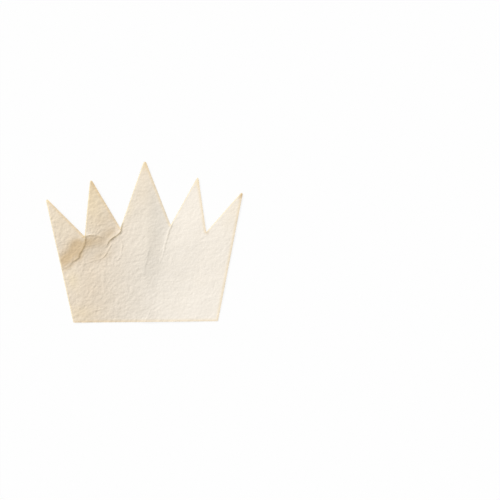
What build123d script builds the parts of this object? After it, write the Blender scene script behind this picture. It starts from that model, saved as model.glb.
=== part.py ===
from build123d import *
import os
from math import ceil, cos, exp, hypot, radians, sin, tau

# Crown cut with scissors from one sheet of creased tissue paper, lying on its back.
# X runs along the base edge, Y towards the points, and Z up from the surface it lies on.

# Cut outline. Heights are measured to the sharp corners, which the radii then round.
point_span = 98.7  # across the two outer points
crown_height = 81.5  # from the middle of the base edge to the middle point
base_width = 72.2  # across the ends of the base edge
base_shift = 0.55  # how far the middle of the base edge lies right of the middle point
base_slant = 0.7  # how far the base edge climbs from left to right
tip_radius = 0.8  # bluntest points
notch_radius = 0.2  # where two cuts meet
corner_radius = 0.4  # ends of the base edge

# Points from left to right, by point_span, crown_height and tip_radius.
tip_shares = [
    (-0.501, 0.764, 0.7),
    (-0.274, 0.883, 0.8),
    (0.001, 1.0, 0.98),
    (0.271, 0.895, 0.56),
    (0.501, 0.809, 0.77),
]

# Notches between them, by point_span and crown_height.
notch_shares = [(-0.302, 0.524), (-0.122, 0.575), (0.132, 0.593), (0.312, 0.550)]

# Sheet, and the broad ripples that crumpling left in it.
sheet_thickness = 0.25
ripple_height = 0.28  # of the broadest ripple, from hollow to crest
ripple_length = 46.0  # of the broadest ripple, from crest to crest

# Ripples by ripple_length and ripple_height, with a heading in degrees and a start in turns.
ripple_shares = [
    (1.0, 1.0, 20, 0.10),
    (0.72, 0.7, 115, 0.35),
    (0.47, 0.42, 62, 0.80),
    (0.36, 0.32, 158, 0.55),
    (0.27, 0.22, 38, 0.15),
    (0.22, 0.18, 97, 0.65),
]

# Upper left corner, bent up around an arc of creases, by point_span and crown_height.
lift_height = 1.0
lift_radius = 20.0
lift_heading = 110  # degrees, the way that the raised ground runs on from its centre
lift_centre_shares = (-0.379, 0.644)

# Soft upright fold below the middle point, from its top to its foot by point_span.
fold_height = 0.22
fold_width = 3.4
fold_top_share = 0.024
fold_foot_share = 0.012

# Pinched creases: the widths of the long and the steep flank by long_flank and steep_flank, then
# a route by point_span, crown_height and crease_height. A share below zero is a crest that has
# sunk into the sheet, and a crease that starts in a notch runs in over the cut edge.
# Seen along its route, a crease has its long flank on the right and its steep one on the left.
crease_height = 0.55
long_flank = 1.6
steep_flank = 0.9
crease_root = 0.06  # how far the feet of the flanks lie under the sheet
crease_shares = {
    "first_notch": (1.9, 0.8, [
        (-0.306, 0.551, 0.65), (-0.301, 0.524, 0.7), (-0.300, 0.498, 0.7), (-0.307, 0.464, 0.68),
        (-0.318, 0.437, 0.72), (-0.331, 0.413, 0.6), (-0.334, 0.395, 0.6), (-0.345, 0.385, 0.78),
        (-0.365, 0.368, 0.55), (-0.380, 0.352, 0.25), (-0.399, 0.335, 0.25), (-0.438, 0.305, 0.25),
    ]),
    "second_point": (0.45, 0.85, [
        (-0.195, 0.502, -0.05), (-0.214, 0.519, 0.38), (-0.238, 0.529, 0.48), (-0.262, 0.532, 0.55),
        (-0.286, 0.529, 0.6), (-0.311, 0.522, 0.55),
    ]),
    "second_notch": (0.75, 0.8, [
        (-0.115, 0.607, 0.5), (-0.118, 0.582, 0.8), (-0.122, 0.558, 1.2), (-0.133, 0.539, 1.2),
        (-0.150, 0.525, 1.15), (-0.167, 0.510, 1.05), (-0.182, 0.493, 0.85), (-0.191, 0.472, 0.4),
        (-0.196, 0.450, -0.05),
    ]),
    "second_notch_tail": (0.5, 0.6, [
        (-0.160, 0.492, -0.05), (-0.171, 0.468, 0.35), (-0.184, 0.437, 0.42), (-0.200, 0.409, 0.42),
        (-0.215, 0.390, 0.4), (-0.234, 0.382, 0.34), (-0.256, 0.375, 0.3), (-0.287, 0.363, 0.28),
        (-0.319, 0.357, 0.18), (-0.356, 0.350, -0.05),
    ]),
    "third_notch": (0.6, 0.8, [
        (0.141, 0.610, 0.45), (0.133, 0.586, 0.45), (0.121, 0.548, 0.45), (0.112, 0.507, 0.42),
        (0.104, 0.474, 0.38), (0.100, 0.446, 0.25), (0.093, 0.412, 0.18), (0.078, 0.363, -0.05),
    ]),
    "fourth_notch": (0.5, 0.75, [(0.309, 0.577, 0.2), (0.312, 0.548, 0.2), (0.318, 0.521, -0.05)]),
    "middle": (0.5, 0.75, [
        (-0.104, 0.436, -0.05), (-0.113, 0.416, 0.25), (-0.122, 0.396, 0.25), (-0.134, 0.376, -0.05),
    ]),
    "base_edge": (0.6, 0.8, [
        (0.034, 0.082, -0.05), (0.025, 0.058, 0.2), (0.015, 0.031, 0.2), (0.006, 0.004, 0.2),
        (-0.001, -0.025, 0.2),
    ]),
}

# The former is the block that the sheet is draped over and takes its ripples and creases from.
former_margin = 5.0  # how far it reaches past the outline
former_depth = 4.0
former_step = 2.6  # between the points that its rippled top passes through
ground_tolerance = 0.0005  # of the mesh on which the sheet's lowest point is found


def place(x_share, y_share):
    """Point of the flat outline."""
    return Vector(x_share * point_span, y_share * crown_height)


def lifted_corner(x, y):
    """Height of the bent-up corner, which is level on top and falls away around its arc."""
    centre = place(*lift_centre_shares)
    run_x = cos(radians(lift_heading))
    run_y = sin(radians(lift_heading))
    along = max((x - centre.X) * run_x + (y - centre.Y) * run_y, 0)
    distance = hypot(x - centre.X - along * run_x, y - centre.Y - along * run_y)
    return lift_height * exp(-((distance / lift_radius) ** 4))


def soft_fold(x, y):
    """Height of the upright fold."""
    crest_share = fold_foot_share + (fold_top_share - fold_foot_share) * y / crown_height
    return fold_height * exp(-(((x - crest_share * point_span) / fold_width) ** 2))


def sheet_height(x, y):
    """Height of the sheet's underside between its pinched creases."""
    height = lifted_corner(x, y) + soft_fold(x, y)
    for length_share, height_share, heading, start in ripple_shares:
        run = x * cos(radians(heading)) + y * sin(radians(heading))
        turns = start + run / (ripple_length * length_share)
        height += ripple_height * height_share * sin(tau * turns) / 2
    return height


def rippled_face():
    """Smooth face at sheet_height that reaches past the outline on every side."""
    width = point_span + 2 * former_margin
    depth = crown_height + 2 * former_margin
    columns = ceil(width / former_step)
    rows = ceil(depth / former_step)
    grid = []
    for row in range(rows + 1):
        y = depth * row / rows - former_margin
        places = [width * column / columns - width / 2 for column in range(columns + 1)]
        grid.append([Vector(x, y, sheet_height(x, y)) for x in places])
    return Face.make_surface_from_array_of_points(grid)


def pinched_crease(long_share, steep_share, route_shares):
    """Roof-shaped ridge along a route, with the feet of both flanks just under the sheet."""
    long_width = long_flank * long_share
    steep_width = steep_flank * steep_share
    route = [place(x_share, y_share) for x_share, y_share, _ in route_shares]
    with BuildPart() as ridge:
        for index, spot in enumerate(route):
            onward = route[min(index + 1, len(route) - 1)] - route[max(index - 1, 0)]
            across = Vector(0, 0, 1).cross(onward).normalized()
            long_foot = spot - across * long_width
            steep_foot = spot + across * steep_width
            long_level = sheet_height(long_foot.X, long_foot.Y) - crease_root
            steep_level = sheet_height(steep_foot.X, steep_foot.Y) - crease_root
            crest_level = sheet_height(spot.X, spot.Y) + crease_height * route_shares[index][2]
            with BuildSketch(Plane(spot, x_dir=across, z_dir=onward)):
                with BuildLine():
                    Polyline(
                        (-long_width, long_level),
                        (steep_width, steep_level),
                        (0, crest_level),
                        close=True,
                    )
                make_face()
        loft(ruled=True)
    return ridge.part


with BuildPart() as former:
    extrude(rippled_face(), amount=former_depth, dir=(0, 0, -1))
    for long_share, steep_share, route_shares in crease_shares.values():
        add(pinched_crease(long_share, steep_share, route_shares))

with BuildSketch() as outline:
    tips = [place(x_share, y_share) for x_share, y_share, _ in tip_shares]
    notches = [place(*shares) for shares in notch_shares]
    base_left = Vector(base_shift - base_width / 2, -base_slant / 2)
    base_right = Vector(base_shift + base_width / 2, base_slant / 2)
    zigzag = [tips[0]]
    for notch, tip in zip(notches, tips[1:]):
        zigzag += [notch, tip]
    with BuildLine():
        Polyline(*zigzag, base_right, base_left, close=True)
    make_face()
    for tip, (_, _, radius_share) in zip(tips, tip_shares):
        fillet(outline.vertices().sort_by_distance(tip)[0], tip_radius * radius_share)
    for notch in notches:
        fillet(outline.vertices().sort_by_distance(notch)[0], notch_radius)
    for corner in (base_left, base_right):
        fillet(outline.vertices().sort_by_distance(corner)[0], corner_radius)

with BuildPart() as draped_sheet:
    with Locations((0, 0, sheet_thickness)):
        add(former.part)
    extrude(outline.sketch, amount=former_depth, both=True, mode=Mode.INTERSECT)
    add(former.part, mode=Mode.SUBTRACT)

# The finished sheet lies on the ground with the middle of its outline over the origin.
middle = draped_sheet.part.bounding_box().center()
surface_points, _ = draped_sheet.part.tessellate(ground_tolerance)
ground = min(point.Z for point in surface_points)
with BuildPart(Plane((-middle.X, -middle.Y, -ground))) as paper_crown:
    add(draped_sheet.part)
paper_crown.part.label = "paper_crown"

os.makedirs("parts", exist_ok=True)
export_step(paper_crown.part, "parts/paper_crown.step")
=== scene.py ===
from math import ceil, cos, hypot, radians, sin, tau

import bpy
import numpy as np
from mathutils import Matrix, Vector, noise
from mathutils.geometry import delaunay_2d_cdt


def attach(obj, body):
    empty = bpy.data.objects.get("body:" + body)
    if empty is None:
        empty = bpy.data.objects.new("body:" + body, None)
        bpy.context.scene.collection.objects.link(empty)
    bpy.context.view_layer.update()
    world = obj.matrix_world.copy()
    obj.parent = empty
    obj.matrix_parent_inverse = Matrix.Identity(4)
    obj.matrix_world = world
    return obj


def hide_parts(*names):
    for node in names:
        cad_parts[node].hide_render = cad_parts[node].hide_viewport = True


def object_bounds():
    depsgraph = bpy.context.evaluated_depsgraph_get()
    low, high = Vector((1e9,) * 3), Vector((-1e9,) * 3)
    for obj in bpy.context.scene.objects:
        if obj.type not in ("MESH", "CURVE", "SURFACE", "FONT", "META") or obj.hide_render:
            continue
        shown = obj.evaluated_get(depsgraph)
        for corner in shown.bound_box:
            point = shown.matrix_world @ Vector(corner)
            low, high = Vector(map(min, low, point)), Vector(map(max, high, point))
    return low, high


# A crown cut with scissors from one sheet of creased tissue paper, lying on a white table.
# Shapes are worked out in millimetres, in the flat drawing's own frame: X along the base edge
# and Y up from it. The mesh is then set into the frame, in metres.

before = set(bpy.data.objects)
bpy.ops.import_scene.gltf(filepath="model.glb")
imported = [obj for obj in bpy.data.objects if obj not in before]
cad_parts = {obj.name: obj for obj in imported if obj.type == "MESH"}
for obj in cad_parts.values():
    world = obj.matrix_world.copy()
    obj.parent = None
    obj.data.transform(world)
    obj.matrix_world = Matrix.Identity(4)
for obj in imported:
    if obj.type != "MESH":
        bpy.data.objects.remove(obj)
cad_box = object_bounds()

MM = 0.001

# Cut outline. Heights are measured to the sharp corners, which the radii then round.
POINT_SPAN = 98.7
CROWN_HEIGHT = 81.5
BASE_WIDTH = 72.2
BASE_SHIFT = 0.55
BASE_SLANT = 0.7
TIP_RADIUS = 0.8
NOTCH_RADIUS = 0.2
CORNER_RADIUS = 0.4

# Points by POINT_SPAN, CROWN_HEIGHT and TIP_RADIUS, then notches by the first two.
TIP_SHARES = [
    (-0.501, 0.764, 0.7),
    (-0.274, 0.883, 0.8),
    (0.001, 1.0, 0.98),
    (0.271, 0.895, 0.56),
    (0.501, 0.809, 0.77),
]
NOTCH_SHARES = [(-0.302, 0.524), (-0.122, 0.575), (0.132, 0.593), (0.312, 0.550)]

# Sheet and its broad ripples, by length, height, heading in degrees and start in turns.
SHEET_THICKNESS = 0.25
RIPPLE_HEIGHT = 0.28
RIPPLE_LENGTH = 46.0
RIPPLE_SHARES = [
    (1.0, 1.0, 20, 0.10),
    (0.72, 0.7, 115, 0.35),
    (0.47, 0.42, 62, 0.80),
    (0.36, 0.32, 158, 0.55),
    (0.27, 0.22, 38, 0.15),
    (0.22, 0.18, 97, 0.65),
]

# Bent-up corner and soft upright fold.
LIFT_HEIGHT = 1.0
LIFT_RADIUS = 20.0
LIFT_HEADING = 110
LIFT_CENTRE_SHARES = (-0.379, 0.644)
FOLD_HEIGHT = 0.22
FOLD_WIDTH = 3.4
FOLD_TOP_SHARE = 0.024
FOLD_FOOT_SHARE = 0.012

# Seed of the noise by which crests wander and crinkle drifts, so that each run gives the same sheet.
NOISE_SEED = 1

# Pinched creases: long and steep flank by LONG_FLANK and STEEP_FLANK, then a route by
# POINT_SPAN, CROWN_HEIGHT and CREASE_HEIGHT. Seen along its route, a crease has its long flank
# on the right and its steep one on the left. A crest below zero has sunk into the sheet, and a
# flank eases out over FOOT_EASE times its width. Over about UNEVEN_LENGTH, crests rise and sink
# by up to CREST_UNEVEN of their height and wander by up to about CREST_WANDER.
CREASE_HEIGHT = 0.55
LONG_FLANK = 1.6
STEEP_FLANK = 0.9
CREASE_ROOT = 0.06
FOOT_EASE = 1.5
CREST_UNEVEN = 0.5
CREST_WANDER = 0.25
UNEVEN_LENGTH = 2.2
CREASE_SHARES = {
    "first_notch": (1.9, 0.8, [
        (-0.306, 0.551, 0.65), (-0.301, 0.524, 0.7), (-0.300, 0.498, 0.7), (-0.307, 0.464, 0.68),
        (-0.318, 0.437, 0.72), (-0.331, 0.413, 0.6), (-0.334, 0.395, 0.6), (-0.345, 0.385, 0.78),
        (-0.365, 0.368, 0.55), (-0.380, 0.352, 0.25), (-0.399, 0.335, 0.25), (-0.438, 0.305, 0.25),
    ]),
    "second_point": (0.45, 0.85, [
        (-0.195, 0.502, -0.05), (-0.214, 0.519, 0.38), (-0.238, 0.529, 0.48), (-0.262, 0.532, 0.58),
        (-0.286, 0.529, 0.7), (-0.311, 0.522, 0.7),
    ]),
    "second_notch": (1.0, 0.8, [
        (-0.115, 0.607, 0.5), (-0.118, 0.582, 0.8), (-0.122, 0.558, 1.25), (-0.133, 0.540, 0.85),
        (-0.150, 0.525, 1.3), (-0.167, 0.510, 1.1), (-0.182, 0.493, 0.85), (-0.191, 0.472, 0.4),
        (-0.196, 0.450, -0.05),
    ]),
    "second_notch_tail": (0.5, 0.6, [
        (-0.160, 0.492, -0.05), (-0.171, 0.468, 0.35), (-0.184, 0.437, 0.42), (-0.200, 0.409, 0.42),
        (-0.215, 0.390, 0.4), (-0.234, 0.382, 0.34), (-0.256, 0.375, 0.3), (-0.287, 0.363, 0.28),
        (-0.319, 0.357, 0.18), (-0.356, 0.350, -0.05),
    ]),
    "third_notch": (0.6, 0.8, [
        (0.141, 0.610, 0.45), (0.133, 0.586, 0.45), (0.121, 0.548, 0.45), (0.112, 0.507, 0.42),
        (0.104, 0.474, 0.38), (0.100, 0.446, 0.28), (0.093, 0.412, 0.25), (0.078, 0.368, 0.2),
        (0.072, 0.350, -0.05),
    ]),
    "fourth_notch": (0.5, 0.75, [(0.309, 0.577, 0.2), (0.312, 0.548, 0.2), (0.318, 0.521, -0.05)]),
    "middle": (0.5, 0.75, [
        (-0.104, 0.436, -0.05), (-0.113, 0.416, 0.25), (-0.122, 0.396, 0.25), (-0.134, 0.376, -0.05),
    ]),
    "base_edge": (0.6, 0.8, [
        (0.034, 0.082, -0.05), (0.025, 0.058, 0.2), (0.015, 0.031, 0.2), (0.006, 0.004, 0.2),
        (-0.001, -0.025, 0.2),
    ]),
}

# Faint creases that stand hardly higher than the crinkle, written the same way.
FAINT_CREASE_SHARES = {
    "notch_branch": (0.4, 0.6, [(-0.136, 0.550, 0.25), (-0.132, 0.525, 0.3), (-0.133, 0.500, 0.0)]),
    "side_loop": (0.4, 0.7, [
        (-0.123, 0.506, 0.0), (-0.113, 0.470, 0.26), (-0.118, 0.427, 0.3), (-0.129, 0.390, 0.3),
        (-0.146, 0.377, 0.2), (-0.164, 0.387, 0.0),
    ]),
    "corner_line": (0.4, 0.6, [(-0.285, 0.385, 0.0), (-0.268, 0.390, 0.2), (-0.240, 0.399, 0.0)]),
    "fold_top": (1.6, 2.0, [(0.018, 0.611, 0.0), (0.021, 0.525, 0.09), (0.026, 0.452, 0.05)]),
    "fold_streak": (0.6, 0.7, [
        (0.028, 0.470, 0.05), (0.024, 0.447, 0.14), (0.014, 0.411, 0.16), (0.018, 0.397, 0.1),
        (0.005, 0.349, 0.15), (-0.001, 0.288, 0.1), (0.003, 0.226, 0.0),
    ]),
    "right_upright": (0.5, 0.8, [(0.307, 0.403, 0.0), (0.303, 0.341, 0.12), (0.306, 0.274, 0.0)]),
    "right_level": (0.5, 0.8, [(0.026, 0.246, 0.0), (0.128, 0.252, 0.1), (0.239, 0.255, 0.0)]),
    "second_point_bump": (0.9, 1.0, [(-0.248, 0.644, 0.0), (-0.228, 0.663, 0.25), (-0.201, 0.676, 0.0)]),
    "second_point_low": (0.9, 1.0, [(-0.288, 0.587, 0.0), (-0.258, 0.599, 0.18), (-0.223, 0.593, 0.0)]),
    "lower_left": (0.6, 0.8, [
        (-0.228, 0.133, 0.0), (-0.206, 0.182, 0.12), (-0.212, 0.236, 0.12), (-0.196, 0.292, 0.0),
    ]),
    "lower_left_low": (0.6, 0.8, [(-0.298, 0.059, 0.0), (-0.238, 0.074, 0.2), (-0.166, 0.089, 0.0)]),
    "under_tail": (0.6, 0.8, [(-0.223, 0.341, 0.0), (-0.201, 0.304, 0.15), (-0.206, 0.255, 0.0)]),
}

# Fine crinkle: size and height of each layer, from broad to fine. Each layer mixes pebbles and
# small creases, taken from the noise at levels of their own, and MIXED_REACH evens out the two.
CRINKLE_LAYERS = [(3.2, 0.065), (1.9, 0.145), (1.1, 0.16), (0.7, 0.1)]
PEBBLE_LEVEL = 0.5
SMALL_CREASE_LEVEL = 10.5
MIXED_REACH = 1.4

# The crinkle is slanted, drawn out, drifts in waves of about DRIFT_LENGTH, and fades towards the
# right and up towards the points.
CRINKLE_SLANT = 0.3
DRAWN_OUT = 1.3
CRINKLE_DRIFT = 1.2
DRIFT_LENGTH = 8
CRINKLE_FADE_X = (-22.0, 18.0)
CRINKLE_FADE_Y = (34.0, 52.0)
FADED_SHARE_X = 0.5
FADED_SHARE_Y = 0.87

# Cut rim, which scissors pressed down a little. Beside a cut that faces left, towards the lamp, the paper
# gets a painted highlight, and beside one that faces right, away from it, a warmer painted shade.
# RIM_TURN is where the one gives way to the other, with -1 for a cut that faces left and 1 for one that
# faces right.
RIM_WIDTH = 0.55
RIM_DROP = 0.06
RIM_START = 0.1
RIM_TURN = (-0.7, 0.3)
RIM_HIGHLIGHT_STRENGTH = 0.8
RIM_SHADE_WIDTH = 1.9

# Painted shade beside a crease, a warm tint on its dark side: its width on the steep flank, how many
# times narrower it is on the long one, and how it climbs with the crest's share of CREASE_HEIGHT.
SHADE_WIDTH = 0.7
SHADE_NARROWING = 3
SHADE_CLIMB = 2.3
SHADE_SHORTFALL = 0.8

# Mesh spacing on the front, on the back, between the rows beside a crease and along arcs.
FRONT_STEP = 0.31
BACK_STEP = 0.6
ROW_STEP = 0.25
ROW_COUNT = 4
ARC_STEP = 0.2
MERGE_DISTANCE = 1e-6
SHARP_ANGLE = 50

# Creases that keep a patch to one side of them: the side, 1 for left along the route, how far
# past the crest half of the patch is gone, and over how far it fades.
PATCH_SIDES = {
    "first_notch": (-1, 0.9, 2.4),
    "second_point": (1, 0.2, 0.8),
    "third_notch": (-1, 0.0, 1.2),
}

# Paper colours, and colours of painted light and shade, as red, green and blue out of 255.
CREAM = (247, 239, 227)
TAN = (213, 189, 154)
STRAW = (240, 221, 181)
# Grey that paints shade over the paper.
PAINTED_SHADE = (190, 184, 172)
# Pale tone, also used as a painted highlight beside cuts that face the lamp.
PALE_AND_RIM_HIGHLIGHT = (253, 236, 197)
# Tint of the painted shade beside cuts that face away from the lamp.
RIM_SHADE_TINT = (254, 246, 230)
# Tint of the painted shade on the dark side of creases.
CREASE_SHADE_TINT = (254, 249, 234)

# Tone from CREAM towards TAN: its level on the left, how far it falls and between which places
# along X. Blotches lie over it, by size, detail and strength.
LEFT_TONE = 0.43
TONE_FALL = 0.39
TONE_FALL_X = (-30, 14)
BLOTCHES = [(5, 4.0, 0.1), (0.7, 2.0, 0.1)]

# Grain and fibres of the paper.
GRAIN_SIZE = 0.6
GRAIN_HEIGHT = 0.03
FIBRE_SIZE = 1.2
FINE_DETAIL = 3.0
LEAST_ROUGHNESS = 0.82
FIBRE_ROUGHNESS = 0.14
PAPER_SHINE = 0.2

# Patches of each colour: centre from the frame's origin, half length, half width, heading in
# degrees and strength. A strength below zero takes colour away, and some patches are kept to one
# side of a crease. Their edges drift within PATCH_DRIFT, in waves of about PATCH_DRIFT_SIZE.
PATCH_DRIFT = 2
PATCH_DRIFT_SIZE = 7
PATCH_DRIFT_DETAIL = 2.0
TAN_PATCHES = [
    (-34.9, -4.2, 6.2, 4.8, 52, 0.42, "first_notch"),
    (-33.6, -1.8, 4.4, 3.6, 50, 0.24, "first_notch"),
    (-40.4, -9.2, 5.4, 3.4, 42, 0.48, "first_notch"),
    (-38.0, -12.4, 4.2, 1.5, 32, 0.26, None),
    (-38.1, -11.3, 3.4, 0.7, 28, -0.2, None),
    (-30.8, 1.7, 1.6, 1.2, 90, -0.25, None),
    (-31.6, -6.8, 2.8, 1.5, 65, 0.3, None),
    (-28.0, -1.6, 4.0, 1.8, 78, 0.15, None),
    (-21.5, -6.8, 6.0, 2.5, 20, 0.18, None),
    (-28.8, 3.8, 2.2, 1.6, 0, -0.25, None),
    (-7.6, 15.5, 5.0, 1.8, 68, -0.1, None),
    (-16.6, 12.4, 3.0, 1.6, 120, 0.2, None),
    (-36.0, -19.0, 5.0, 3.0, 100, -0.1, None),
    (-32.0, -36.0, 7.0, 3.0, 0, 0.08, None),
    (-27.4, 0.4, 6.0, 3.4, 0, 0.4, "second_point"),
    (-20.5, -1.2, 5.0, 3.2, 10, 0.14, None),
    (-16.5, 4.6, 4.0, 2.2, 40, 0.12, None),
    (-18.4, 4.2, 5.6, 3.2, 28, 0.34, None),
    (-19.5, 10.5, 4.0, 3.0, 0, 0.15, None),
    (-25.7, 20.0, 13.0, 7.0, 90, 0.13, None),
    (-26.3, 27.0, 6.0, 2.5, 80, 0.22, None),
    (-0.2, 28.0, 12.0, 6.0, 90, 0.12, None),
    (-0.2, 37.5, 4.0, 2.5, 90, 0.22, None),
    (0.1, 38.8, 2.4, 1.6, 90, 0.12, None),
    (-26.6, 29.2, 1.6, 1.2, 90, 0.15, None),
    (-27.0, -24.0, 16.0, 9.0, 90, 0.08, None),
    (48.0, 23.4, 2.0, 1.0, 65, 0.9, None),
    (31.2, 5.2, 1.4, 0.9, 100, 0.5, None),
    (30.3, -31.0, 10.0, 8.0, 0, -0.06, None),
]
STRAW_PATCHES = [
    (-25.7, 20.0, 13.0, 7.0, 90, 0.42, None),
    (-43.2, 10.3, 9.0, 6.0, 120, 0.22, None),
    (-0.2, 28.0, 13.0, 7.0, 90, 0.16, None),
    (2.5, 3.0, 14.0, 8.0, 90, 0.08, None),
    (44.5, 16.0, 10.0, 4.0, 65, 0.15, None),
    (-36.0, -19.0, 5.0, 3.0, 100, 0.42, None),
    (-32.0, -35.5, 7.0, 4.0, 0, 0.25, None),
    (-7.6, 15.5, 5.0, 1.8, 68, 0.3, None),
    (0.1, 38.8, 2.4, 1.6, 90, 0.55, None),
]
# Patches of painted shade, which grey the paper where it would lie in shade.
PAINTED_SHADE_PATCHES = [
    (-6.0, -18.0, 18.0, 15.0, 0, 0.18, None),
    (-10.0, -34.0, 16.0, 7.0, 0, 0.12, None),
    (2.5, 4.0, 20.0, 8.0, 90, 0.18, None),
    (7.5, 4.5, 9.0, 4.0, 70, 0.15, "third_notch"),
    (-1.5, -33.0, 6.0, 3.5, 90, 0.12, None),
    (-13.5, -37.0, 6.0, 3.0, 0, 0.1, None),
    (-18.4, 4.2, 5.6, 3.2, 28, 0.12, None),
    (6.5, 17.0, 9.0, 4.0, 110, 0.18, None),
    (-23.2, -2.6, 9.0, 4.5, 15, 0.16, None),
    (26.0, -14.0, 22.0, 16.0, 0, 0.07, None),
    (2.8, -4.3, 2.0, 0.8, 70, 0.12, None),
    (1.7, -7.4, 2.0, 0.9, 60, 0.18, None),
    (0.7, -11.8, 2.4, 1.0, 80, 0.14, None),
    (-0.1, -16.4, 1.6, 0.9, 90, 0.1, None),
    (7.0, -9.2, 1.4, 0.8, 70, 0.25, None),
]
PALE_PATCHES = [
    (-48.5, 20.9, 1.9, 1.5, 123, 0.85, None),
    (26.5, 30.2, 2.6, 1.3, 90, 0.5, None),
]

# Photograph's frame: the camera looks straight down and sees this much of the table.
VIEW_WIDTH = 250.0
VIEW_CENTRE = (52.68, -3.90)
LENS = 100.0
SENSOR = 36.0

# Light: a soft lamp at the upper left and an even white room.
LAMP_STRENGTH = 2.4
LAMP_WIDTH = 25
LAMP_FROM = (-0.6, 0.55, 0.68)
ROOM_STRENGTH = 0.5
TABLE_HALF_WIDTH = 2.0
TABLE_GLOW = 0.85
TABLE_WHITE = (0.95, 0.95, 0.95, 1)
WHITE = (1, 1, 1, 1)


def place(x_share, y_share):
    """Point of the flat drawing."""
    return x_share * POINT_SPAN, y_share * CROWN_HEIGHT


def rounded_corner(before, corner, after, radius):
    """Points of the arc that rounds a corner of the outline."""
    corner = Vector(corner)
    back = (Vector(before) - corner).normalized()
    onward = (Vector(after) - corner).normalized()
    half_angle = back.angle(onward) / 2
    centre = corner + (back + onward).normalized() * radius / sin(half_angle)
    reach = radius * cos(half_angle) / sin(half_angle)
    start = corner + back * reach - centre
    end = corner + onward * reach - centre
    turn = -start.angle_signed(end)
    steps = max(4, ceil(abs(turn) * radius / ARC_STEP))
    points = []
    for step in range(steps + 1):
        angle = turn * step / steps
        across = start.x * cos(angle) - start.y * sin(angle)
        up = start.x * sin(angle) + start.y * cos(angle)
        points.append(centre + Vector((across, up)))
    return points


def straight_run(start, end):
    """Points between two ends of a straight cut, without the ends."""
    steps = ceil((end - start).length / FRONT_STEP)
    return [start.lerp(end, step / steps) for step in range(1, steps)]


def cut_outline():
    """The closed cut, as points about FRONT_STEP apart, running clockwise from the first point."""
    tips = [(place(x, y), TIP_RADIUS * radius) for x, y, radius in TIP_SHARES]
    notches = [(place(x, y), NOTCH_RADIUS) for x, y in NOTCH_SHARES]
    corners = [tips[0]]
    for notch, tip in zip(notches, tips[1:]):
        corners += [notch, tip]
    corners.append(((BASE_SHIFT + BASE_WIDTH / 2, BASE_SLANT / 2), CORNER_RADIUS))
    corners.append(((BASE_SHIFT - BASE_WIDTH / 2, -BASE_SLANT / 2), CORNER_RADIUS))
    points = []
    for index, (corner, radius) in enumerate(corners):
        before = corners[index - 1][0]
        after = corners[(index + 1) % len(corners)][0]
        arc = rounded_corner(before, corner, after, radius)
        if points:
            points += straight_run(points[-1], arc[0])
        points += arc
    return np.array(points + straight_run(points[-1], points[0]))


def smooth_route(route_shares):
    """A crease's route as x, y and crest height, on a smooth curve through its points."""
    knots = np.array([(*place(x, y), height * CREASE_HEIGHT) for x, y, height in route_shares])
    padded = np.vstack([2 * knots[0] - knots[1], knots, 2 * knots[-1] - knots[-2]])
    points = []
    for a, b, c, d in zip(padded, padded[1:], padded[2:], padded[3:]):
        steps = ceil(hypot(*(c - b)[:2]) / FRONT_STEP)
        for t in np.arange(steps) / steps:
            bend = t**2 * (a - 2.5 * b + 2 * c - d / 2) + t**3 * (1.5 * b - a / 2 - 1.5 * c + d / 2)
            points.append(b + t * (c - a) / 2 + bend)
    points = np.array(points + [knots[-1]])
    for point in points:
        spot = Vector((*point[:2], 0)) / UNEVEN_LENGTH
        point[:2] += CREST_WANDER * np.array(noise.noise_vector(spot))[:2]
        point[2] *= 1 + CREST_UNEVEN * noise.noise(spot)
    return points


def inside(points, outline):
    """Whether each point lies inside the outline."""
    found = np.zeros(len(points), bool)
    for (ax, ay), (bx, by) in zip(outline, np.roll(outline, -1, axis=0)):
        spans = (ay > points[:, 1]) != (by > points[:, 1])
        rise = by - ay if by != ay else 1
        found ^= spans & (points[:, 0] < ax + (points[:, 1] - ay) * (bx - ax) / rise)
    return found


def nearest(points, line):
    """For each point: distance to an open line, side of it (left is positive), and place along it."""
    best = np.full(len(points), np.inf)
    side = np.zeros(len(points))
    along = np.zeros(len(points))
    for index, (start, end) in enumerate(zip(line[:-1, :2], line[1:, :2])):
        run = end - start
        offset = points - start
        share = np.clip(offset @ run / (run @ run), 0, 1)
        distance = np.hypot(*(offset - share[:, None] * run).T)
        nearer = distance < best
        best[nearer] = distance[nearer]
        side[nearer] = np.sign(run[0] * offset[:, 1] - run[1] * offset[:, 0])[nearer]
        along[nearer] = index + share[nearer]
    return best, side, along


def crease_relief(distance, side, crest, long_share, steep_share):
    """Height that a pinched crease adds at each point."""
    flank = np.where(side > 0, STEEP_FLANK * steep_share, LONG_FLANK * long_share)
    eased = np.maximum(1 - distance / (flank * FOOT_EASE), 0) ** FOOT_EASE
    return np.maximum((crest + CREASE_ROOT) * eased - CREASE_ROOT, 0)


def crease_shade(distance, side, crest):
    """How far each point lies in the shade of a crease, from 0 to 1."""
    past = np.where(side > 0, distance, SHADE_NARROWING * distance)
    strength = np.clip(SHADE_CLIMB * crest / CREASE_HEIGHT - SHADE_SHORTFALL, 0, 1)
    return np.exp(-((past / SHADE_WIDTH) ** 2)) * strength


def broad_relief(points):
    """Height of the underside between the creases: bent corner, soft fold and ripples."""
    x, y = points.T
    centre_x, centre_y = place(*LIFT_CENTRE_SHARES)
    run_x = cos(radians(LIFT_HEADING))
    run_y = sin(radians(LIFT_HEADING))
    along = np.maximum((x - centre_x) * run_x + (y - centre_y) * run_y, 0)
    distance = np.hypot(x - centre_x - along * run_x, y - centre_y - along * run_y)
    height = LIFT_HEIGHT * np.exp(-((distance / LIFT_RADIUS) ** 4))
    crest_share = FOLD_FOOT_SHARE + (FOLD_TOP_SHARE - FOLD_FOOT_SHARE) * y / CROWN_HEIGHT
    height += FOLD_HEIGHT * np.exp(-(((x - crest_share * POINT_SPAN) / FOLD_WIDTH) ** 2))
    for length_share, height_share, heading, start in RIPPLE_SHARES:
        run = x * cos(radians(heading)) + y * sin(radians(heading))
        turns = start + run / (RIPPLE_LENGTH * length_share)
        height += RIPPLE_HEIGHT * height_share * np.sin(tau * turns) / 2
    return height


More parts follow.
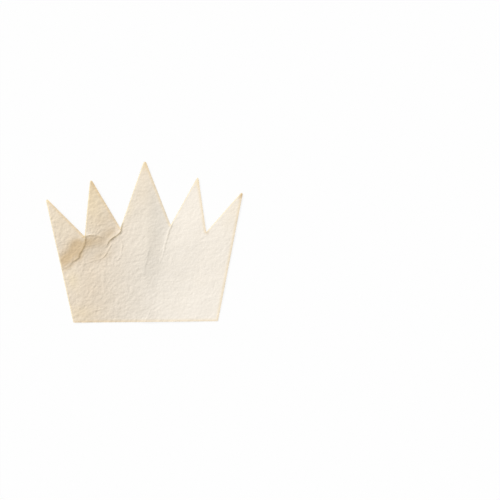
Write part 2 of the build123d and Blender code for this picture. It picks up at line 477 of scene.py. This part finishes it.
def crinkle_relief(points):
    """Fine crinkle, which fades towards the right and on the points."""
    strength = np.interp(points[:, 0], CRINKLE_FADE_X, (1, FADED_SHARE_X))
    strength *= np.interp(points[:, 1], CRINKLE_FADE_Y, (1, FADED_SHARE_Y))
    relief = np.zeros(len(points))
    for index, (x, y) in enumerate(points):
        drift = noise.noise_vector(Vector((x, y, 0)) / DRIFT_LENGTH) * CRINKLE_DRIFT
        u = (x + drift.x + CRINKLE_SLANT * y) / DRAWN_OUT
        v = y + drift.y - CRINKLE_SLANT * x
        for layer, (size, height) in enumerate(CRINKLE_LAYERS):
            pebbly = noise.noise(Vector((u / size, v / size, layer + PEBBLE_LEVEL)))
            creased = 0.5 - abs(noise.noise(Vector((u / size, v / size, layer + SMALL_CREASE_LEVEL))))
            relief[index] += height * (pebbly + creased) / MIXED_REACH
    return strength * relief


def even_points(outline, step):
    """Points of an even grid that covers the outline's box."""
    low = outline.min(axis=0)
    high = outline.max(axis=0)
    row_rise = step * sin(radians(60))
    row, column = np.mgrid[0:ceil((high[1] - low[1]) / row_rise), 0:ceil((high[0] - low[0]) / step)]
    grid_x = low[0] + (column + row % 2 / 2) * step
    grid_y = low[1] + row * row_rise
    return np.column_stack([grid_x.ravel(), grid_y.ravel()])


def crease_rows(route):
    """Rows of points beside a crease and along its crest."""
    run = np.gradient(route[:, :2], axis=0)
    left = np.column_stack([-run[:, 1], run[:, 0]]) / np.hypot(*run.T)[:, None]
    return np.vstack([route[:, :2] + left * row * ROW_STEP for row in range(-ROW_COUNT, ROW_COUNT + 1)])


def flat_side(outline, points, step):
    """One side of the flat sheet: the cut first, then the points inside it, with its triangles."""
    closed = np.vstack([outline, outline[:1]])
    kept = points[inside(points, outline)]
    kept = kept[nearest(kept, closed)[0] > step / 2]
    placed = [Vector(point) for point in np.vstack([outline, kept])]
    flat, _, triangles, *_ = delaunay_2d_cdt(placed, [], [list(range(len(outline)))], 1, MERGE_DISTANCE)
    return np.array(flat), triangles


def front_points(outline, creases):
    """Points of the front: rows beside the pinched creases, and an even grid between them."""
    grid = even_points(outline, FRONT_STEP)
    rows = []
    for name in CREASE_SHARES:
        route = creases[name][2]
        rows.append(crease_rows(route))
        grid = grid[nearest(grid, route)[0] > (ROW_COUNT + 0.5) * ROW_STEP]
    return np.vstack(rows + [grid])


def crease_values(flat, creases):
    """Height that all creases add at each point, and the numbers that the finish needs of them."""
    relief = np.zeros(len(flat))
    shade = np.zeros(len(flat))
    values = {}
    for name, (long_share, steep_share, route) in creases.items():
        distance, side, along = nearest(flat, route)
        crest = np.interp(along, np.arange(len(route)), route[:, 2])
        relief = np.maximum(relief, crease_relief(distance, side, crest, long_share, steep_share))
        if name in CREASE_SHARES:
            shade = np.maximum(shade, crease_shade(distance, side, crest))
        if name in PATCH_SIDES:
            sign, overrun, fade = PATCH_SIDES[name]
            values[name] = np.clip(0.5 + (sign * side * distance + overrun) / fade, 0, 1)
    values["crease_shade"] = shade
    return relief, values


def rim_values(flat, outline):
    """Each point's distance to the cut, and whether that cut faces left (-1) or right (1)."""
    rim, _, along = nearest(flat, np.vstack([outline, outline[:1]]))
    run = np.roll(outline, -1, axis=0) - outline
    facing = -run[:, 1] / np.hypot(*run.T)
    return rim, facing[along.astype(int) % len(outline)]


def closed_faces(front_faces, back_faces, front_count, rim_count):
    """Faces of the front, of the back, turned over, and of the cut edge between them."""
    faces = [tuple(face) for face in front_faces]
    faces += [tuple(front_count + corner for corner in reversed(face)) for face in back_faces]
    for corner in range(rim_count):
        following = (corner + 1) % rim_count
        faces.append((corner, following, front_count + following, front_count + corner))
    return faces


def crown_sheet():
    """The whole sheet as a closed mesh: front, back and cut edge."""
    noise.seed_set(NOISE_SEED)
    outline = cut_outline()
    shares = {**CREASE_SHARES, **FAINT_CREASE_SHARES}
    creases = {name: (long, steep, smooth_route(route)) for name, (long, steep, route) in shares.items()}
    front, front_faces = flat_side(outline, front_points(outline, creases), FRONT_STEP)
    back, back_faces = flat_side(outline, even_points(outline, BACK_STEP), FRONT_STEP)
    flat = np.vstack([front, back])
    relief, values = crease_values(flat, creases)
    rim, facing = rim_values(flat, outline)
    values.update(rim=rim, rim_facing=facing)

    height = broad_relief(flat) + relief + crinkle_relief(flat)
    height += cad_box[0].z / MM - height.min()
    front_rim = rim[:len(front)]
    height[:len(front)] += SHEET_THICKNESS - RIM_DROP * np.maximum(1 - front_rim / RIM_WIDTH, 0) ** 2
    middle = (outline.min(axis=0) + outline.max(axis=0)) / 2
    points = np.column_stack([flat - middle, height]) * MM

    mesh = bpy.data.meshes.new("crown_sheet")
    mesh.from_pydata(points.tolist(), [], closed_faces(front_faces, back_faces, len(front), len(outline)))
    mesh.validate()
    mesh.shade_smooth()
    mesh.set_sharp_from_angle(angle=radians(SHARP_ANGLE))
    for name, numbers in values.items():
        add_values(mesh, name, numbers)
    return add_piece(mesh)


def add_values(mesh, name, values):
    """Give each point of a mesh a number that its finish can read."""
    attribute = mesh.attributes.new(name, "FLOAT", "POINT")
    attribute.data.foreach_set("value", values.astype(np.float32))


def add_piece(data):
    """Put a mesh, lamp or camera into the scene under its own name."""
    piece = bpy.data.objects.new(data.name, data)
    bpy.context.scene.collection.objects.link(piece)
    return piece


def table_top():
    """White table that the sheet lies on."""
    mesh = bpy.data.meshes.new("table_top")
    half = TABLE_HALF_WIDTH
    level = cad_box[0].z
    corners = [(-half, -half, level), (half, -half, level), (half, half, level), (-half, half, level)]
    mesh.from_pydata(corners, [], [(0, 1, 2, 3)])
    return add_piece(mesh)


class Wire:
    """A socket of a finish. Sums and products of wires add Math nodes to that finish."""

    def __init__(self, finish, socket):
        self.finish = finish
        self.socket = socket

    def __add__(self, other):
        return self.finish.math("ADD", self, other)

    def __sub__(self, other):
        return self.finish.math("SUBTRACT", self, other)

    def __rsub__(self, other):
        return self.finish.math("SUBTRACT", other, self)

    def __mul__(self, other):
        return self.finish.math("MULTIPLY", self, other)

    def __neg__(self):
        return self.finish.math("MULTIPLY", self, -1)

    __radd__ = __add__
    __rmul__ = __mul__


class Finish:
    """The node tree of a material or of the room's light."""

    def __init__(self, owner):
        owner.use_nodes = True
        self.tree = owner.node_tree
        self.tree.nodes.clear()

    def node(self, kind, settings, sockets, output=0):
        """Add a node: its settings first, then the values or wires of its sockets."""
        made = self.tree.nodes.new("ShaderNode" + kind)
        for name, value in settings.items():
            setattr(made, name, value)
        for name, value in sockets.items():
            if isinstance(value, Wire):
                self.tree.links.new(value.socket, made.inputs[name])
            else:
                made.inputs[name].default_value = value
        return Wire(self, made.outputs[output]) if made.outputs else None

    def math(self, operation, *terms):
        """Math node on numbers and wires."""
        return self.node("Math", {"operation": operation}, dict(enumerate(terms)))

    def between(self, value, low, high):
        """Smooth climb from 0 at low to 1 at high."""
        sockets = {"Value": value, "From Min": low, "From Max": high}
        return self.node("MapRange", {"interpolation_type": "SMOOTHSTEP"}, sockets)

    def blend(self, share, first, second):
        """Colour that goes from the first to the second as a share goes from 0 to 1."""
        return self.node("Mix", {"data_type": "RGBA"}, {0: share, 6: first, 7: second}, 2)

    def tinted(self, share, first, tint):
        """Colour that is multiplied by a tint as a share goes from 0 to 1."""
        settings = {"data_type": "RGBA", "blend_type": "MULTIPLY"}
        return self.node("Mix", settings, {0: share, 6: first, 7: tint}, 2)

    def cloud(self, spot, size, detail):
        """Soft noise from 0 to 1, with blotches of about the given size in millimetres."""
        return self.node("TexNoise", {}, {"Vector": spot, "Scale": 1 / (size * MM), "Detail": detail})

    def value(self, name):
        """A number that the mesh holds for each of its points."""
        return self.node("Attribute", {"attribute_name": name}, {}, "Fac")


def colour(red, green, blue):
    """Linear colour of a screen colour out of 255."""
    shares = [level / 255 for level in (red, green, blue)]
    linear = [s / 12.92 if s <= 0.04045 else ((s + 0.055) / 1.055) ** 2.4 for s in shares]
    return linear + [1]


def patches(finish, x, y, table):
    """Sum of soft oval patches, each as strong as its table says at its centre."""
    total = 0
    for centre_x, centre_y, half_length, half_width, heading, strength, kept_to in table:
        run_x = cos(radians(heading))
        run_y = sin(radians(heading))
        along = (x - centre_x * MM) * run_x + (y - centre_y * MM) * run_y
        across = (y - centre_y * MM) * run_x - (x - centre_x * MM) * run_y
        along = along * (1 / (half_length * MM))
        across = across * (1 / (half_width * MM))
        patch = finish.math("EXPONENT", -(along * along + across * across)) * strength
        total = total + (patch * finish.value(kept_to) if kept_to else patch)
    return total


def creased_paper():
    """Cream tissue paper, tan on the left and in patches, with fibres, painted grey shade, and painted
    highlight and shade at the cut rim and creases.
    """
    material = bpy.data.materials.new("creased_paper")
    finish = Finish(material)
    spot = finish.node("TexCoord", {}, {}, "Object")
    waves = {"Vector": spot, "Scale": 1 / (PATCH_DRIFT_SIZE * MM), "Detail": PATCH_DRIFT_DETAIL}
    drift = finish.node("TexNoise", {}, waves, "Color")
    moved = {0: drift, 1: (PATCH_DRIFT * MM,) * 3, 2: spot}
    drifted = finish.node("VectorMath", {"operation": "MULTIPLY_ADD"}, moved)
    x = finish.node("SeparateXYZ", {}, {0: drifted}, "X") - PATCH_DRIFT * MM / 2
    y = finish.node("SeparateXYZ", {}, {0: drifted}, "Y") - PATCH_DRIFT * MM / 2

    fall_start, fall_end = TONE_FALL_X
    tone = LEFT_TONE - TONE_FALL * finish.between(x, fall_start * MM, fall_end * MM)
    tone = tone + patches(finish, x, y, TAN_PATCHES)
    for size, detail, strength in BLOTCHES:
        tone = tone + strength * (finish.cloud(spot, size, detail) - 0.5)
    sheet = finish.blend(tone, colour(*CREAM), colour(*TAN))
    sheet = finish.blend(patches(finish, x, y, STRAW_PATCHES), sheet, colour(*STRAW))
    # Painted shade: grey patches.
    sheet = finish.blend(patches(finish, x, y, PAINTED_SHADE_PATCHES), sheet, colour(*PAINTED_SHADE))
    sheet = finish.blend(patches(finish, x, y, PALE_PATCHES), sheet, colour(*PALE_AND_RIM_HIGHLIGHT))
    # Painted highlight beside cuts that face the lamp, and painted shade beside those that face away.
    left = 1 - finish.between(finish.value("rim_facing"), *RIM_TURN)
    rim_highlight = (1 - finish.between(finish.value("rim"), RIM_START, RIM_WIDTH + RIM_START)) * left
    rim_shade = (1 - finish.between(finish.value("rim"), RIM_START, RIM_SHADE_WIDTH)) * (1 - left)
    sheet = finish.blend(rim_highlight * RIM_HIGHLIGHT_STRENGTH, sheet, colour(*PALE_AND_RIM_HIGHLIGHT))
    sheet = finish.tinted(rim_shade, sheet, colour(*RIM_SHADE_TINT))
    # Painted shade: a warm tint on the dark side of each crease.
    sheet = finish.tinted(finish.value("crease_shade"), sheet, colour(*CREASE_SHADE_TINT))

    grain = finish.cloud(spot, GRAIN_SIZE, FINE_DETAIL) * GRAIN_HEIGHT * MM
    bump = finish.node("Bump", {}, {"Strength": 1.0, "Distance": 1.0, "Height": grain})
    rough = LEAST_ROUGHNESS + FIBRE_ROUGHNESS * finish.cloud(spot, FIBRE_SIZE, FINE_DETAIL)
    sockets = {"Base Color": sheet, "Roughness": rough, "Specular IOR Level": PAPER_SHINE, "Normal": bump}
    shader = finish.node("BsdfPrincipled", {}, sockets)
    finish.node("OutputMaterial", {}, {"Surface": shader})
    return material


def seen_directly(finish):
    """1 for what the camera sees straight, in a mirror or through glass, and 0 for other light."""
    seen = finish.node("LightPath", {}, {}, "Is Camera Ray")
    mirrored = finish.node("LightPath", {}, {}, "Is Glossy Ray")
    through = finish.node("LightPath", {}, {}, "Is Transmission Ray")
    return finish.math("MINIMUM", seen + mirrored + through, 1)


def white_table():
    """White table that looks as white as the page and keeps a faint shadow."""
    material = bpy.data.materials.new("white_table")
    finish = Finish(material)
    matt = finish.node("BsdfDiffuse", {}, {"Color": TABLE_WHITE})
    glow = finish.node("Emission", {}, {"Color": WHITE, "Strength": 1.0})
    mixed = finish.node("MixShader", {}, {0: seen_directly(finish) * TABLE_GLOW, 1: matt, 2: glow})
    finish.node("OutputMaterial", {}, {"Surface": mixed})
    return material


def white_room():
    """Even light from all around, white where it is seen."""
    world = bpy.data.worlds.new("white_room")
    finish = Finish(world)
    lit = finish.node("Background", {}, {"Color": WHITE, "Strength": ROOM_STRENGTH})
    seen = finish.node("Background", {}, {"Color": WHITE, "Strength": 1.0})
    mixed = finish.node("MixShader", {}, {0: seen_directly(finish), 1: lit, 2: seen})
    finish.node("OutputWorld", {}, {"Surface": mixed})
    bpy.context.scene.world = world


def soft_lamp():
    """Wide soft lamp at the upper left."""
    lamp = add_piece(bpy.data.lights.new("soft_lamp", "SUN"))
    lamp.data.energy = LAMP_STRENGTH
    lamp.data.angle = radians(LAMP_WIDTH)
    lamp.rotation_euler = Vector(LAMP_FROM).to_track_quat("Z", "Y").to_euler()


def camera_above():
    """Camera that looks straight down on the sheet."""
    camera = add_piece(bpy.data.cameras.new("camera_above"))
    camera.data.lens = LENS
    camera.data.sensor_width = SENSOR
    camera.location = Vector((*VIEW_CENTRE, VIEW_WIDTH * LENS / SENSOR)) * MM
    bpy.context.scene.camera = camera


crown = crown_sheet()
crown.data.materials.append(creased_paper())
table = table_top()
table.data.materials.append(white_table())
white_room()
soft_lamp()
camera_above()
bpy.context.scene.view_settings.view_transform = "Standard"

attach(crown, "root")
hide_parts("paper_crown")
